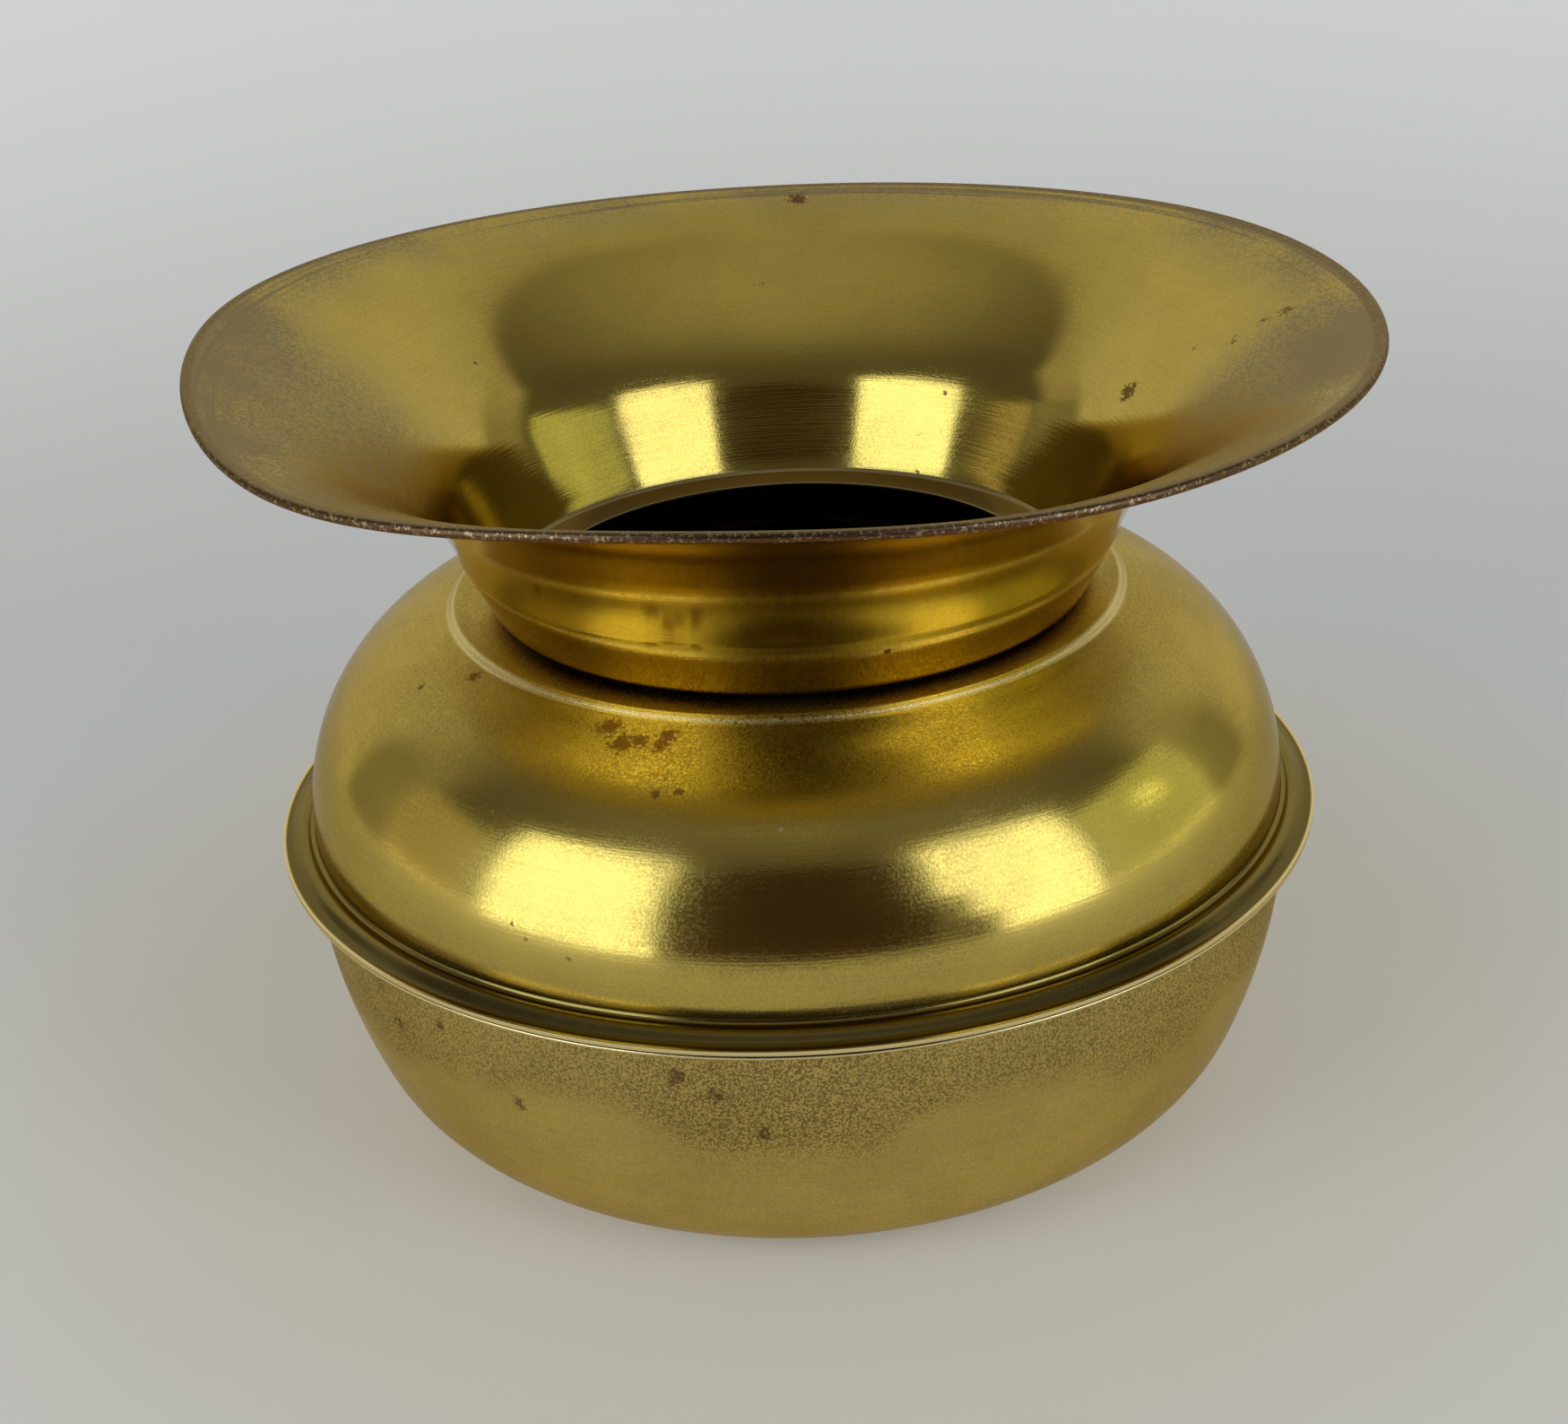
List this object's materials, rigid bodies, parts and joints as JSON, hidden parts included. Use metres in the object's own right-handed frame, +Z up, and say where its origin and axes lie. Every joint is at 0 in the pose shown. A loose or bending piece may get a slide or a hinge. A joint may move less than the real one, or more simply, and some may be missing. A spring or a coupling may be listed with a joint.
{
  "type": "spittoon",
  "caption": "Spun brass spittoon: round-bellied bowl and shoulder joined at a flanged seam, with a wide flared mouth that lifts out of the neck.",
  "frame": {"origin": "on the axis of the vessel, at the level of the ring it stands on", "axes": "+Z up along the axis of the vessel, out of its mouth; +X to the right and -Y towards the viewer"},
  "size_m": [0.203, 0.203, 0.1404],
  "materials": {
    "body_brass": "satin, lightly tarnished, spun",
    "mouth_brass": "satin, lightly tarnished, spun, brown at the rim",
    "solder": "dull, darkened soft solder",
    "rim_wire": "plain drawn wire"
  },
  "bodies": {
    "vessel": {"bowl_shell": "body_brass", "shoulder_shell": "body_brass", "seam_solder": "solder"},
    "mouth": {"mouth_funnel": "mouth_brass", "rim_wire": "rim_wire"}
  },
  "joints": [
    {"name": "mouth_lift", "type": "slide", "parent": "vessel", "child": "mouth", "axis": [0, 0, 1], "range_m": [0, 0.06]}
  ]
}
